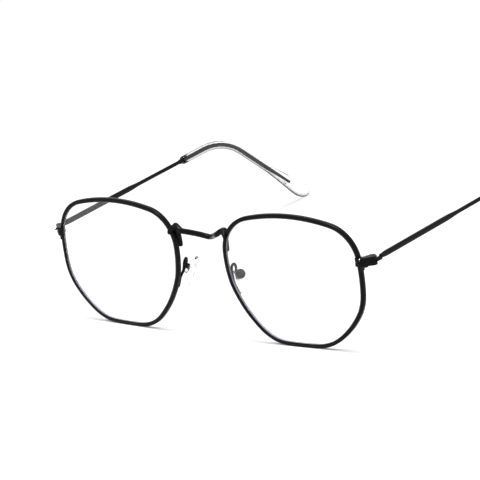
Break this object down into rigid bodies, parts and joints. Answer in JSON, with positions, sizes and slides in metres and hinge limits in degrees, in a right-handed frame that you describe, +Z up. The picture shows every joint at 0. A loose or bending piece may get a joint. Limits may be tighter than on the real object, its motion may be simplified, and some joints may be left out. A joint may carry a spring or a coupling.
{
  "type": "wire-rimmed spectacles",
  "caption": "Thin wire spectacles with rounded six-sided rims, clear lenses, a waved bridge, rocking nose pads and folding temples with clear tips.",
  "frame": {"origin": "on the table, under the middle of the open spectacles", "axes": "+X towards the wearer's left, +Y back along the temples, +Z up; the fronts of the lenses face -Y"},
  "size_m": [0.14, 0.1445, 0.0435],
  "materials": {
    "black_metal": "satin black",
    "dark_screw": "blackened steel",
    "steel": "bright steel",
    "clear_lens": "clear polished",
    "clear_pad": "clear soft plastic",
    "clear_tip": "clear polished plastic"
  },
  "bodies": {
    "front": {"rim_left": "black_metal", "rim_right": "black_metal", "lens_left": "clear_lens", "lens_right": "clear_lens", "bridge": "black_metal", "pad_arm_left": "black_metal", "pad_arm_right": "black_metal", "pad_box_left": "dark_screw", "pad_box_right": "dark_screw", "pad_screw_left": "steel", "pad_screw_right": "steel", "endpiece_upper_left": "black_metal", "endpiece_upper_right": "black_metal", "endpiece_lower_left": "black_metal", "endpiece_lower_right": "black_metal", "closing_screw_left": "dark_screw", "closing_screw_right": "dark_screw", "hinge_screw_left": "dark_screw", "hinge_screw_right": "dark_screw", "rivet_left": "dark_screw", "rivet_right": "dark_screw"},
    "temple_left": {"temple_left": "black_metal", "temple_tip_left": "clear_tip"},
    "temple_right": {"temple_right": "black_metal", "temple_tip_right": "clear_tip"},
    "nose_pad_left": {"nose_pad_left": "clear_pad", "pad_core_left": "steel"},
    "nose_pad_right": {"nose_pad_right": "clear_pad", "pad_core_right": "steel"}
  },
  "joints": [
    {"name": "temple_left_hinge", "type": "hinge", "parent": "front", "child": "temple_left", "pos_m": [0.064, -0.0655, 0.03002], "axis": [0, 0, 1], "range_deg": [0, 91]},
    {"name": "temple_right_hinge", "type": "hinge", "parent": "front", "child": "temple_right", "pos_m": [-0.064, -0.0655, 0.03002], "axis": [0, 0, -1], "range_deg": [0, 86]},
    {"name": "nose_pad_left_rock", "type": "hinge", "parent": "front", "child": "nose_pad_left", "pos_m": [0.0111, -0.0664, 0.02072], "axis": [0.4636, 0.8854, 0.0341], "range_deg": [-8, 8]},
    {"name": "nose_pad_right_rock", "type": "hinge", "parent": "front", "child": "nose_pad_right", "pos_m": [-0.0111, -0.0664, 0.02072], "axis": [0.4636, -0.8854, -0.0341], "range_deg": [-8, 8]}
  ]
}
